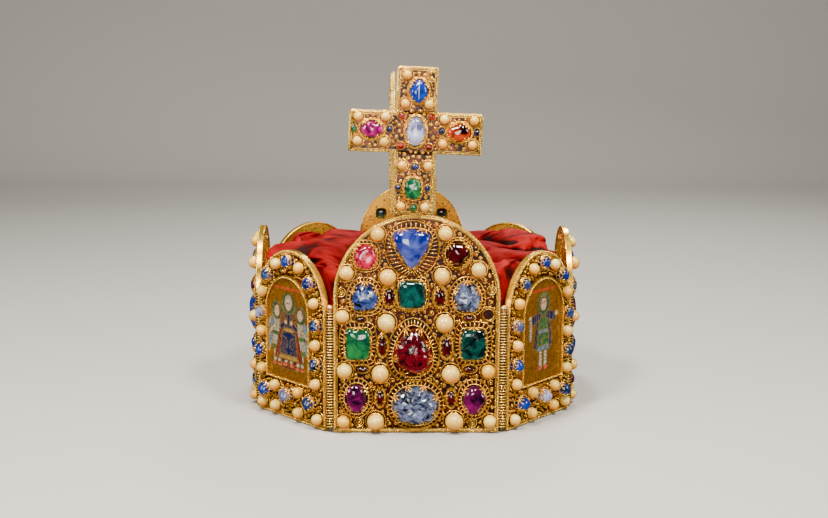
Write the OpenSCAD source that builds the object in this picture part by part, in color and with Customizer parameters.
// Octagonal plate crown: eight hinged, round-topped gold plates set with stones, pearls and enamel
// pictures, a standing cross, a fore-and-aft arch, two riveted iron hoops and a velvet cap.
// Millimetres, +Z up, the front plate faces -Y, and the plates stand on z = 0.

/* [Ring of plates] */
// Height of the front plate
front_h = 149; // [140:0.5:156]
// Height of the neck plate
neck_h = 147; // [140:0.5:150]
// Height of the two temple plates
temple_h = 126; // [120:0.5:130]
// Height of the four picture plates
picture_h = 119.5; // [116:0.5:122]
// Distance from the middle to the front hinges, across
front_hinge_x = 58.5; // [56:0.5:60]
// Distance from the middle to the front and neck plates
half_depth = 103.5; // [101:0.5:106]
// Distance from the middle to the temple plates
half_width = 111.5; // [109:0.5:114]
// Where the temple plates begin, towards the front
temple_front_y = -36.5; // [-40:0.5:-33]
// Where the temple plates end, towards the neck
temple_rear_y = 54; // [50:0.5:57]
// Distance from the middle to the neck hinges, across
neck_hinge_x = 44.5; // [42:0.5:47]
// Thickness of the plates
plate_t = 2; // [1.6:0.1:2.2]

/* [Hinges] */
// Radius of a hinge pin
pin_r = 1; // [0.8:0.05:1.1]
// Radial clearance of a pin in its knuckles
pin_gap = 0.05; // [0.02:0.01:0.09]
// Outside radius of a knuckle
knuckle_r = 2.4; // [2.1:0.05:2.4]
// Height of one knuckle and the gap above it
knuckle_pitch = 16; // [14:0.5:16]

/* [Settings] */
// Height of a pearl's gold ring
ring_h = 3; // [2:0.5:4]
// Height of a stone's collet
collet_h = 5; // [3:0.5:6]
// Wall of the rings and collets
collet_t = 0.8; // [0.6:0.1:1]

/* [Pictures] */
// Room beside an enamel picture for its border of stones
border_w = 15.4; // [14.8:0.1:17]
// Lowest edge of the pictures
picture_z = 28; // [27:0.5:30]
// Height of an enamel picture
picture_tall = 72; // [68:1:74]
// How far the pictures and their borders lie towards the temples
picture_shift = 3; // [0:0.5:3]

/* [Cross] */
// Width of the upright
shaft_w = 26; // [24:0.5:27]
// Width across the arms
arms_w = 87; // [82:1:92]
// Height of the cross above the front plate
cross_h = 96; // [92:1:98]
// Lower edge of the arms above the foot
arms_z = 40.5; // [38:0.5:43]
// Height of the arms
arms_h = 26; // [24:0.5:27]
// Thickness of the cross
cross_t = 11; // [10:0.5:11]
// Lean of the cross to its right
cross_lean = 2; // [0:0.5:2.5]

/* [Arch] */
// Height of the arch's springing line
arch_z = 145; // [143:0.5:147]
// Inner radius of the arch
arch_r = 76; // [74:0.5:76]
// Width between the outer faces of the arch's two openwork sides
arch_w = 27; // [25:0.5:28]
// Number of round lobes along the arch
lobes = 8; // [8:1:8]
// How far the arch stands to the right of the crown's middle
arch_x = -2.5; // [-2.5:0.5:0]

/* [Cap] */
// Lowest edge of the velvet cap
cap_z = 34; // [30:1:36]
// Height where the cap's crown begins to close
cap_shoulder_z = 92; // [88:1:94]
// Highest point of the cap
cap_top_z = 120; // [112:1:120]

/* [Hidden] */
$fn = 48;

gold = "goldenrod";
pearl_white = "oldlace";

// The hinge axes, anticlockwise from the front plate's left edge, and the plates between them.
hinge = [[-front_hinge_x, -half_depth], [front_hinge_x, -half_depth], [half_width, temple_front_y],
    [half_width, temple_rear_y], [neck_hinge_x, half_depth], [-neck_hinge_x, half_depth],
    [-half_width, temple_rear_y], [-half_width, temple_front_y]];
plate_h = [front_h, picture_h, temple_h, picture_h, neck_h, picture_h, temple_h, picture_h];
edge_gap = 2.5;      // from a hinge axis to the plates' edges
rim_w = 1.6;
rim_h = 1.2;
knuckles = 5;
knuckle_z = 3;
knuckle_air = 0.3;
hinge_top = knuckle_z + knuckle_pitch * knuckles - knuckle_air;
knob_r = 2.2;
pin_foot_z = 1.5;

function next(i) = (i + 1) % 8;
function span(i) = norm(hinge[next(i)] - hinge[i]);
function width(i) = span(i) - 2 * edge_gap;
function along(i) = (hinge[next(i)] - hinge[i]) / span(i);
function inward(i) = [-along(i)[1], along(i)[0]];
function inset_corner(i, d) =
    let (a = inward((i + 7) % 8), b = inward(i)) hinge[i] + (a + b) * d / (1 + a * b);
function ring_outline(d) = [for (i = [0:7]) inset_corner(i, d)];

// Outlines of settings. Each is a closed list of points about the stone's middle.
function oval(w, h) = [for (k = [0:15]) [w / 2 * cos(22.5 * k), h / 2 * sin(22.5 * k)]];
function pear(w, h) =
    [for (k = [0:15]) [w / 2 * sin(22.5 * k) * (1 - 0.3 * cos(22.5 * k)), h / 2 * cos(22.5 * k)]];
function cushion(w, h) = let (c = min(w, h) / 5)
    [[w / 2 - c, -h / 2], [w / 2, c - h / 2], [w / 2, h / 2 - c], [w / 2 - c, h / 2],
     [c - w / 2, h / 2], [-w / 2, h / 2 - c], [-w / 2, c - h / 2], [c - w / 2, -h / 2]];
function heart(w, h) = let (c = w / 7)
    [[-c / 2, -h / 2], [c / 2, -h / 2], [w / 2, h / 2 - 2 * c], [w / 2 - c, h / 2],
     [c - w / 2, h / 2], [-w / 2, h / 2 - 2 * c]];
function grow(points, t) = [for (p = points) p * (norm(p) + t) / norm(p)];

// Settings on the front plate: across, height, width and height of each stone.
top_sapphire = [-3.5, 126, 26.5, 28];
spinel = [-2.5, 57, 26, 35];
base_sapphire = [-0.5, 19.5, 31, 27];
front_emerald_at = [[-3.5, 95.5, 18.5, 19], [-39.5, 61.5, 17.5, 22], [38, 61.5, 17.5, 22]];
side_sapphire_at = [[-35, 93.5, 19, 20], [33.5, 93.5, 19, 21.5]];
amethyst_at = [[-40.5, 24, 15.5, 21], [39, 23, 16, 21]];
ruby_at = [[-34.5, 121, 15, 16.5]];
garnet_at = [[27, 123, 16, 17.5], [-18.5, 93.5, 8, 13], [15.5, 93, 8, 13], [-23, 60, 6.5, 15],
    [20, 59, 8, 15], [-24.5, 24, 6, 13], [23.5, 23.5, 6, 13], [-37.5, 78, 8, 4.5], [35, 79, 8, 4.5],
    [-36.5, 44, 9, 5], [36, 44, 9, 5]];
// Pearls on the front plate: across, height and radius.
front_pearl_at = [[-26.5, 136, 4.7], [18.5, 136.5, 4.9], [-47, 109.5, 4.7], [41, 112, 4.9],
    [-19.5, 107, 5.4], [16.5, 108, 5.3], [-50, 80, 4.5], [-20.5, 76, 6], [18.5, 76, 5.9],
    [48, 81.5, 4], [-48.5, 43, 5], [-24.5, 41, 5.9], [23, 41, 6], [48.5, 42.5, 4.7],
    [-49.5, 7.5, 4.2], [-27.5, 8, 5.8], [25.5, 8, 6], [50, 7.5, 4.4]];

// Settings on a picture plate, measured towards the temple: the columns beside the picture and the
// arc over it alternate pearl and sapphire, with three larger sapphires below it.
column_z = [31, 44.5, 58, 71.5];
arc_z = 80;
arc_angles = [for (k = [0:6]) 12 + 26 * k];
border_sapphire = [8.6, 10];
border_pearl_r = 4;
border_margin = 3.5;   // from the plate's edge to the border's pearls, before the shift
// These four are shares of half the plate's width.
base_sapphire_x = [-0.6, 0.1, 0.74];
upper_pearl_x = [-0.27, 0.44];
lower_pearl_x = [-0.82, -0.27, 0.43, 0.82];
base_sapphire_z = 16.5;
picture_base_sapphire = [10.5, 10.5];
upper_pearl_z = 21.3;
lower_pearl_z = 6.6;

// Settings on a temple plate and on the neck plate, each mirrored about the plate's middle.
temple_middle_at = [[0, 62, 26, 30], [0, 101, 18, 17], [0, 22, 25, 19]];
temple_side_at = [[26, 86, 13, 14], [26, 43, 13, 15], [26, 16, 13, 12]];
temple_pearl_at = [[12, 116, 4.2], [29, 103, 4.5], [13, 84, 4.5], [35.5, 65, 4.4], [21, 63, 4.2],
    [13, 39, 4.5], [35.5, 29, 4.2], [15, 7, 4.4], [35.5, 6.5, 4]];
neck_emerald_at = [[24.5, 123.5, 13, 13]];
neck_middle_at = [[0, 126, 17, 18], [0, 86, 25, 32], [0, 42, 24, 26], [0, 12, 20, 14]];
neck_side_at = [[26, 100, 13, 15], [26, 71, 14, 16], [26, 41, 13, 15], [26, 14, 12, 13]];
neck_pearl_at = [[12, 138, 4], [13, 109, 4.6], [35, 87, 4.2], [14.5, 64, 4.5], [35, 56, 4.2],
    [14, 23, 4.4], [35, 28, 4.2], [35, 7, 4]];

// Settings on the cross, from the middle of its foot: across, height, width and height.
cross_sapphire_at = [[1, 81, 12.5, 15.5], [0, 54.5, 13, 20]];
cross_gem_at = [[-28.8, 55, 15.5, 12], [28.5, 55, 15.5, 12], [-0.5, 17, 11, 14], [9, 91, 5.5, 5],
    [-9.5, 64.5, 4.6, 4.6], [10, 64.5, 4.6, 4.6], [-9.5, 45, 4.6, 4.6], [9, 44.5, 4.6, 4.6],
    [-10.2, 17.5, 4, 4], [9.4, 17.5, 4, 4], [0.5, 31.5, 5, 5], [0.5, 4.5, 5, 5],
    [-40.4, 55, 4, 5], [-17.2, 55.5, 4, 5], [16.9, 55.5, 4, 5], [40, 55.5, 4, 5]];
cross_pearl_at = [[-7, 91, 3], [-7.5, 72.5, 3], [8, 72.5, 3], [-38, 63, 3], [-20, 63.5, 3],
    [-38, 47, 3], [-20.5, 47, 3], [18.5, 63, 3], [38, 63, 3], [18, 47, 3], [37.5, 47, 3],
    [-8, 32, 3], [9, 32, 3], [-8, 5, 3], [8, 5, 3]];

// The hoops, their rivets, the cap and its band, as distances inside the plates' middle planes.
hoop_in = 2.6;
hoop_t = 1.5;
lower_hoop_z = 12;
upper_hoop_z = 66;
hoop_h = 8;
rivet_r = 1.5;
rivet_head_r = 2.6;
rivet_head_t = 0.8;
cap_in = 5.4;
cap_t = 2.6;
cap_close = 0.75;     // size of the cap's flat top against its shoulder
cap_band_t = 1.5;
cap_band_h = 14;

// The cross's tang and the sockets behind the front and neck plates.
cross_foot_x = -3.5;
cross_foot_z = front_h + 0.8;
cross_y = -half_depth - 6;              // front face of the cross
cross_back_y = cross_y + cross_t;
tang_w = 10;
tang_t = 2;
tang_foot_z = front_h - 45;
socket_z = front_h - 41;
socket_h = 30;
socket_wall = 3;
slot_air = 0.05;
arch_tang_w = 12;
arch_tang_y = half_depth - 12;          // inner face of an arch tang
arch_socket_y = cross_back_y + tang_t + 1.6;
arch_stop_z = 134;
arch_socket_h = 30;
arch_band_t = 2;
arch_side_t = 1.2;
arch_step = 180 / lobes;
lobe_ring_r = arch_r + 4;
lobe_r = lobe_ring_r * sin(arch_step / 2);
arch_pearl_r = 1.6;

// Places children in a plate's own frame: X along the plate, -Y outwards.
module on_plate(i) {
    middle = (hinge[i] + hinge[next(i)]) / 2;
    translate([middle[0], middle[1], 0])
        rotate([0, 0, atan2(along(i)[1], along(i)[0])])
            children();
}

// Places children on a plate's outer face, growing outwards.
module on_face(i, x, z) {
    on_plate(i)
        translate([x, -plate_t / 2, z])
            rotate([90, 0, 0])
                children();
}

// Mirrors children about a plate's middle as well as keeping them.
module both_sides() {
    children();
    mirror([1, 0, 0]) children();
}

module round_top(w, h) {
    translate([-w / 2, 0]) square([w, h - w / 2]);
    translate([0, h - w / 2]) circle(r = w / 2, $fn = 96);
}

// A stone with upright sides and a domed top, depth d above its seat.
module gem(points, d) {
    reach = max([for (p = points) norm(p)]);
    drop = 0.55 * d;
    r = (reach * reach + drop * drop) / (2 * drop);
    intersection() {
        linear_extrude(d) polygon(points);
        translate([0, 0, d - r]) sphere(r);
    }
}

module collet(points, h) {
    linear_extrude(h)
        difference() {
            polygon(grow(points, 0.1 + collet_t));
            polygon(grow(points, 0.1));
        }
}

// A pearl that sits flat on the face, its middle 0.8 r above it.
module pearl(r) {
    intersection() {
        translate([0, 0, 0.8 * r]) sphere(r);
        translate([-r, -r, 0]) cube([2 * r, 2 * r, 2 * r]);
    }
}

module pearl_ring(r) {
    linear_extrude(min(ring_h, 0.75 * r))
        difference() {
            circle(r + 0.1 + collet_t);
            circle(r + 0.1);
        }
}

function gem_depth(w, h) = 3.2 + 0.27 * min(w, h);
function collet_height(w, h) = min(collet_h, 0.6 * gem_depth(w, h));

module knuckle(i, at_end, k) {
    side = at_end ? 1 : -1;
    z = knuckle_z + knuckle_pitch * k;
    h = knuckle_pitch - knuckle_air;
    on_plate(i) {
        translate([side * span(i) / 2, 0, z]) cylinder(r = knuckle_r, h = h);
        translate([at_end ? width(i) / 2 - 0.5 : -span(i) / 2, -plate_t / 2, z])
            cube([edge_gap + 0.5, plate_t, h]);
    }
}

// A plate with its raised rim and its knuckles: even ones at one edge, odd ones at the other.
module plate(i) {
    w = width(i);
    h = plate_h[i];
    difference() {
        union() {
            on_plate(i)
                translate([0, plate_t / 2, 0]) rotate([90, 0, 0])
                    linear_extrude(plate_t) round_top(w, h);
            on_face(i, 0, 0)
                linear_extrude(rim_h)
                    difference() {
                        round_top(w, h);
                        translate([0, rim_w]) round_top(w - 2 * rim_w, h - 2 * rim_w);
                    }
            for (k = [0:2:knuckles - 1]) knuckle(i, true, k);
            for (k = [1:2:knuckles - 1]) knuckle(i, false, k);
        }
        for (axis = [hinge[i], hinge[next(i)]])
            translate([axis[0], axis[1], -1]) cylinder(r = pin_r + pin_gap, h = hinge_top + 2);
    }
}

// An opening behind a stone, so that light passes through it.
module window(i, at, points) {
    on_plate(i)
        translate([at[0], plate_t, at[1]]) rotate([90, 0, 0])
            linear_extrude(2 * plate_t) polygon(grow(points, -2.5));
}

module front_plate() {
    color(gold)
        difference() {
            plate(0);
            window(0, spinel, pear(spinel[2], spinel[3]));
            window(0, base_sapphire, oval(base_sapphire[2], base_sapphire[3]));
        }
}

module temple_plate(i) {
    color(gold)
        difference() {
            plate(i);
            for (at = temple_middle_at) window(i, at, oval(at[2], at[3]));
        }
}

module neck_plate() {
    color(gold)
        difference() {
            plate(4);
            for (at = neck_emerald_at, side = [-1, 1])
                window(4, [side * at[0], at[1]], cushion(at[2], at[3]));
            window(4, neck_middle_at[1], oval(neck_middle_at[1][2], neck_middle_at[1][3]));
        }
}

// Which way the temple lies along a picture plate.
function temple_side(i) = (i == 1 || i == 5) ? 1 : -1;
function picture_w(i) = width(i) - 2 * border_w;
function column_x(i) = width(i) / 2 - border_pearl_r - border_margin;
function arc_r(i) = column_x(i) - 0.9;

module picture_plate(i) {
    color(gold) {
        plate(i);
        on_face(i, temple_side(i) * picture_shift, picture_z - rim_w)
            linear_extrude(2.4)
                difference() {
                    round_top(picture_w(i) + 2 * rim_w, picture_tall + 2 * rim_w);
                    translate([0, rim_w]) round_top(picture_w(i), picture_tall);
                }
    }
}

module enamel(i) {
    color("saddlebrown")
        on_face(i, temple_side(i) * picture_shift, picture_z)
            linear_extrude(1) round_top(picture_w(i) - 0.2, picture_tall - 0.1);
}

// A pin with a collar that rests on the top knuckle and a round knob above it.
module hinge_pin(i) {
    color(pearl_white)
        translate([hinge[i][0], hinge[i][1], 0]) {
            translate([0, 0, pin_foot_z]) cylinder(r = pin_r, h = hinge_top - pin_foot_z + 1);
            translate([0, 0, hinge_top]) cylinder(r = knob_r - 0.3, h = 1);
            translate([0, 0, hinge_top + knob_r + 0.4]) sphere(knob_r);
        }
}

module hoop(z, d, t, h) {
    translate([0, 0, z])
        linear_extrude(h)
            difference() {
                polygon(ring_outline(d));
                polygon(ring_outline(d + t));
            }
}

module lower_hoop() {
    color("dimgray") hoop(lower_hoop_z, hoop_in, hoop_t, hoop_h);
}

module upper_hoop() {
    color("dimgray") hoop(upper_hoop_z, hoop_in, hoop_t, hoop_h);
}

// Three rivets a plate through each hoop, with a head inside.
module hoop_rivets() {
    color("gray")
        for (i = [0:7], z = [lower_hoop_z, upper_hoop_z], x = [-0.33, 0, 0.33])
            on_plate(i)
                translate([x * width(i), plate_t / 2, z + hoop_h / 2]) rotate([-90, 0, 0]) {
                    cylinder(r = rivet_r, h = hoop_in + hoop_t - plate_t / 2);
                    translate([0, 0, hoop_in + hoop_t - plate_t / 2])
                        cylinder(r = rivet_head_r, h = rivet_head_t);
                }
}

// The cap: an upright wall inside the hoops, and a crown that closes over it.
module velvet_cap() {
    rise = cap_top_z - cap_shoulder_z;
    color("firebrick") {
        hoop(cap_z, cap_in, cap_t, cap_shoulder_z - cap_z);
        translate([0, 0, cap_shoulder_z])
            difference() {
                linear_extrude(rise, scale = cap_close) polygon(ring_outline(cap_in));
                linear_extrude(rise - cap_t, scale = cap_close) polygon(ring_outline(cap_in + cap_t));
            }
    }
}

module cap_band() {
    color("tan") hoop(cap_z, cap_in + cap_t, cap_band_t, cap_band_h);
}

module oval_stone(i, at) {
    on_face(i, at[0], at[1]) gem(oval(at[2], at[3]), gem_depth(at[2], at[3]));
}

module square_stone(i, at) {
    on_face(i, at[0], at[1]) gem(cushion(at[2], at[3]), gem_depth(at[2], at[3]));
}

module front_top_sapphire() {
    color("cornflowerblue")
        on_face(0, top_sapphire[0], top_sapphire[1])
            gem(heart(top_sapphire[2], top_sapphire[3]), 10.5);
}

module front_spinel() {
    color("darkred")
        on_face(0, spinel[0], spinel[1]) gem(pear(spinel[2], spinel[3]), 11.5);
}

module front_base_sapphire() {
    color("lightsteelblue")
        on_face(0, base_sapphire[0], base_sapphire[1])
            gem(oval(base_sapphire[2], base_sapphire[3]), 10.5);
}

module front_emeralds() {
    color("seagreen") for (at = front_emerald_at) square_stone(0, at);
}

module front_side_sapphires() {
    color("slateblue") for (at = side_sapphire_at) oval_stone(0, at);
}

module front_amethysts() {
    color("purple") for (at = amethyst_at) oval_stone(0, at);
}

module front_rubies() {
    color("crimson") for (at = ruby_at) square_stone(0, at);
}

module front_garnets() {
    color("maroon") for (at = garnet_at) oval_stone(0, at);
}

module front_pearls() {
    color(pearl_white) for (at = front_pearl_at) on_face(0, at[0], at[1]) pearl(at[2]);
}

module oval_collet(i, at) {
    on_face(i, at[0], at[1]) collet(oval(at[2], at[3]), collet_height(at[2], at[3]));
}

module front_collets() {
    color(gold) {
        on_face(0, top_sapphire[0], top_sapphire[1])
            collet(heart(top_sapphire[2], top_sapphire[3]), collet_h);
        on_face(0, spinel[0], spinel[1]) collet(pear(spinel[2], spinel[3]), collet_h);
        oval_collet(0, base_sapphire);
        for (at = concat(front_emerald_at, ruby_at))
            on_face(0, at[0], at[1]) collet(cushion(at[2], at[3]), collet_height(at[2], at[3]));
        for (at = concat(side_sapphire_at, amethyst_at, garnet_at)) oval_collet(0, at);
        for (at = front_pearl_at) on_face(0, at[0], at[1]) pearl_ring(at[2]);
    }
}

picture_plates = [1, 3, 5, 7];

// Places children in a picture plate's border: at the odd places, or at the even ones.
module in_border(i, first) {
    side = temple_side(i);
    middle = picture_shift / 2;
    for (x = [-1, 1], k = [first:2:3])
        on_face(i, side * (x * column_x(i) + middle), column_z[k]) children();
    for (k = [first:2:6])
        on_face(i, side * (middle + arc_r(i) * cos(arc_angles[k])), arc_z + arc_r(i) * sin(arc_angles[k]))
            children();
}

// Places children at shares of half a picture plate's width, counted towards the temple.
module below_picture(i, shares, z) {
    for (x = shares) on_face(i, temple_side(i) * x * width(i) / 2, z) children();
}

module at_pearls(i) {
    in_border(i, 0) children();
    below_picture(i, upper_pearl_x, upper_pearl_z) children();
    below_picture(i, lower_pearl_x, lower_pearl_z) children();
}

module picture_sapphires() {
    color("royalblue")
        for (i = picture_plates) {
            in_border(i, 1) gem(oval(border_sapphire[0], border_sapphire[1]), 7.5);
            below_picture(i, base_sapphire_x, base_sapphire_z)
                gem(oval(picture_base_sapphire[0], picture_base_sapphire[1]), 8.5);
        }
}

module picture_pearls() {
    color(pearl_white) for (i = picture_plates) at_pearls(i) pearl(border_pearl_r);
}

module picture_collets() {
    color(gold)
        for (i = picture_plates) {
            in_border(i, 1) collet(oval(border_sapphire[0], border_sapphire[1]), 4);
            below_picture(i, base_sapphire_x, base_sapphire_z)
                collet(oval(picture_base_sapphire[0], picture_base_sapphire[1]), 4.5);
            at_pearls(i) pearl_ring(border_pearl_r);
        }
}

temple_plates = [2, 6];
function mirrored(list) = [for (at = list, s = [-1, 1]) [s * at[0], at[1], at[2], at[3]]];

module temple_stones() {
    color("steelblue")
        for (i = temple_plates, at = concat(temple_middle_at, mirrored(temple_side_at)))
            oval_stone(i, at);
}

module temple_pearls() {
    color(pearl_white)
        for (i = temple_plates, at = mirrored(temple_pearl_at)) on_face(i, at[0], at[1]) pearl(at[2]);
}

module temple_collets() {
    color(gold)
        for (i = temple_plates) {
            for (at = concat(temple_middle_at, mirrored(temple_side_at))) oval_collet(i, at);
            for (at = mirrored(temple_pearl_at)) on_face(i, at[0], at[1]) pearl_ring(at[2]);
        }
}

module neck_emeralds() {
    color("seagreen") for (at = mirrored(neck_emerald_at)) square_stone(4, at);
}

module neck_stones() {
    color("slateblue")
        for (at = concat(neck_middle_at, mirrored(neck_side_at))) oval_stone(4, at);
}

module neck_pearls() {
    color(pearl_white)
        for (at = mirrored(neck_pearl_at)) on_face(4, at[0], at[1]) pearl(at[2]);
}

module neck_collets() {
    color(gold) {
        for (at = mirrored(neck_emerald_at))
            on_face(4, at[0], at[1]) collet(cushion(at[2], at[3]), collet_height(at[2], at[3]));
        for (at = concat(neck_middle_at, mirrored(neck_side_at))) oval_collet(4, at);
        for (at = mirrored(neck_pearl_at)) on_face(4, at[0], at[1]) pearl_ring(at[2]);
    }
}

// Places children in the cross's own frame: its foot at the origin, leaning, front face at y = 0.
module in_cross() {
    translate([cross_foot_x, cross_y, cross_foot_z])
        rotate([0, cross_lean, 0])
            children();
}

module on_cross(x, z) {
    in_cross() translate([x, 0, z]) rotate([90, 0, 0]) children();
}

module cross_outline() {
    translate([-shaft_w / 2, 0]) square([shaft_w, cross_h]);
    translate([-arms_w / 2, arms_z]) square([arms_w, arms_h]);
}

module cross_body() {
    color(gold)
        in_cross()
            translate([0, cross_t, 0]) rotate([90, 0, 0]) linear_extrude(cross_t) cross_outline();
}

// The tang on the back of the cross, with a collar that rests on the socket.
module cross_tang() {
    color("darkgoldenrod") {
        translate([cross_foot_x - tang_w / 2, cross_back_y, tang_foot_z])
            cube([tang_w, tang_t, cross_foot_z + arms_z / 2 - tang_foot_z]);
        translate([cross_foot_x - tang_w / 2 - 2, cross_back_y, socket_z + socket_h])
            cube([tang_w + 4, tang_t, 3]);
    }
}

// The box behind the front plate that the cross's tang drops into.
module cross_socket() {
    depth = arch_socket_y + half_depth - plate_t / 2;
    color(gold)
        difference() {
            translate([cross_foot_x - tang_w / 2 - socket_wall, -half_depth + plate_t / 2, socket_z])
                cube([tang_w + 2 * socket_wall, depth, socket_h]);
            translate([cross_foot_x - tang_w / 2 - slot_air, cross_back_y - slot_air, socket_z - 1])
                cube([tang_w + 2 * slot_air, tang_t + 2 * slot_air, socket_h + 2]);
        }
}

module cross_sapphires() {
    color("lightsteelblue") for (at = cross_sapphire_at) on_cross(at[0], at[1]) gem(oval(at[2], at[3]), 6.5);
}

module cross_gems() {
    color("mediumvioletred")
        for (at = cross_gem_at)
            on_cross(at[0], at[1]) gem(oval(at[2], at[3]), 2 + 0.33 * min(at[2], at[3]));
}

module cross_pearls() {
    color(pearl_white) for (at = cross_pearl_at) on_cross(at[0], at[1]) pearl(at[2]);
}

module cross_collets() {
    color(gold) {
        for (at = concat(cross_sapphire_at, cross_gem_at))
            on_cross(at[0], at[1]) collet(oval(at[2], at[3]), 2);
        for (at = cross_pearl_at) on_cross(at[0], at[1]) pearl_ring(at[2]);
    }
}

// A socket for one of the arch's tangs. It reaches from back_y towards the middle.
module arch_socket(back_y) {
    face_y = arch_tang_y - 1.6;
    color(gold)
        difference() {
            translate([arch_x - arch_tang_w / 2 - 2, face_y, arch_stop_z - arch_socket_h])
                cube([arch_tang_w + 4, back_y - face_y, arch_socket_h]);
            translate([arch_x - arch_tang_w / 2 - slot_air, arch_tang_y - slot_air, 0])
                cube([arch_tang_w + 2 * slot_air, tang_t + 2 * slot_air, 2 * arch_stop_z]);
        }
}

module arch_front_socket() {
    mirror([0, 1, 0]) arch_socket(-arch_socket_y);
}

module arch_rear_socket() {
    arch_socket(half_depth - plate_t / 2);
}

// Draws a shape given by radius and angle in the upright plane through the crown's middle.
module upright(x, t) {
    translate([arch_x + x, 0, arch_z]) rotate([90, 0, 90]) linear_extrude(t) children();
}

module half_ring(r_in, r_out) {
    intersection() {
        difference() {
            circle(r_out, $fn = 96);
            circle(r_in, $fn = 96);
        }
        translate([-r_out - 1, 0]) square([2 * r_out + 2, r_out + 1]);
    }
}

// The arch's floor: a bent strip, with legs, stops and tangs at its two ends.
module arch_band() {
    leg_h = arch_z - arch_stop_z;
    color(gold) {
        upright(-arch_w / 2 + arch_side_t, arch_w - 2 * arch_side_t) {
            half_ring(arch_r, arch_r + arch_band_t);
            for (side = [-1, 1])
                translate([side > 0 ? arch_r : -arch_r - arch_band_t, -leg_h]) square([arch_band_t, leg_h + 0.1]);
        }
        for (side = [0, 1])
            mirror([0, side, 0]) {
                translate([arch_x - arch_tang_w / 2 - 2, arch_r, arch_stop_z])
                    cube([arch_tang_w + 4, arch_tang_y + tang_t - arch_r, 3]);
                translate([arch_x - arch_tang_w / 2, arch_tang_y, arch_stop_z - arch_socket_h + 2])
                    cube([arch_tang_w, tang_t, arch_socket_h]);
            }
    }
}

// One openwork side of the arch, with eight round lobes along its outer edge.
module arch_side(x) {
    color(gold)
        upright(x, arch_side_t) {
            half_ring(arch_r, lobe_ring_r);
            difference() {
                for (k = [0:lobes - 1]) {
                    a = arch_step * (k + 0.5);
                    translate([lobe_ring_r * cos(a), lobe_ring_r * sin(a)])
                        circle(lobe_r - 0.2);
                }
                circle(lobe_ring_r - 1, $fn = 96);
            }
        }
}

module arch_right_side() {
    arch_side(arch_w / 2 - arch_side_t);
}

module arch_left_side() {
    arch_side(-arch_w / 2);
}

// Pearls in the middle of each lobe, on both faces of the arch.
module arch_pearls() {
    color(pearl_white)
        for (k = [0:lobes - 1], side = [0, 1]) {
            a = arch_step * (k + 0.5);
            translate([arch_x, 0, 0]) mirror([side, 0, 0])
                translate([arch_w / 2, lobe_ring_r * cos(a), arch_z + lobe_ring_r * sin(a)])
                    rotate([0, 90, 0]) pearl(arch_pearl_r);
        }
}

front_plate();
picture_plate(1);  // front_right_plate
temple_plate(2);  // right_temple_plate
picture_plate(3);  // rear_right_plate
neck_plate();
picture_plate(5);  // rear_left_plate
temple_plate(6);  // left_temple_plate
picture_plate(7);  // front_left_plate
enamel(1);  // front_right_enamel
enamel(3);  // rear_right_enamel
enamel(5);  // rear_left_enamel
enamel(7);  // front_left_enamel
hinge_pin(0);  // hinge_pin_1
hinge_pin(1);  // hinge_pin_2
hinge_pin(2);  // hinge_pin_3
hinge_pin(3);  // hinge_pin_4
hinge_pin(4);  // hinge_pin_5
hinge_pin(5);  // hinge_pin_6
hinge_pin(6);  // hinge_pin_7
hinge_pin(7);  // hinge_pin_8
lower_hoop();
upper_hoop();
hoop_rivets();
velvet_cap();
cap_band();
front_top_sapphire();
front_spinel();
front_base_sapphire();
front_emeralds();
front_side_sapphires();
front_amethysts();
front_rubies();
front_garnets();
front_pearls();
front_collets();
picture_sapphires();
picture_pearls();
picture_collets();
temple_stones();
temple_pearls();
temple_collets();
neck_emeralds();
neck_stones();
neck_pearls();
neck_collets();
cross_socket();
cross_body();
cross_tang();
cross_sapphires();
cross_gems();
cross_pearls();
cross_collets();
arch_front_socket();
arch_rear_socket();
arch_band();
arch_right_side();
arch_left_side();
arch_pearls();
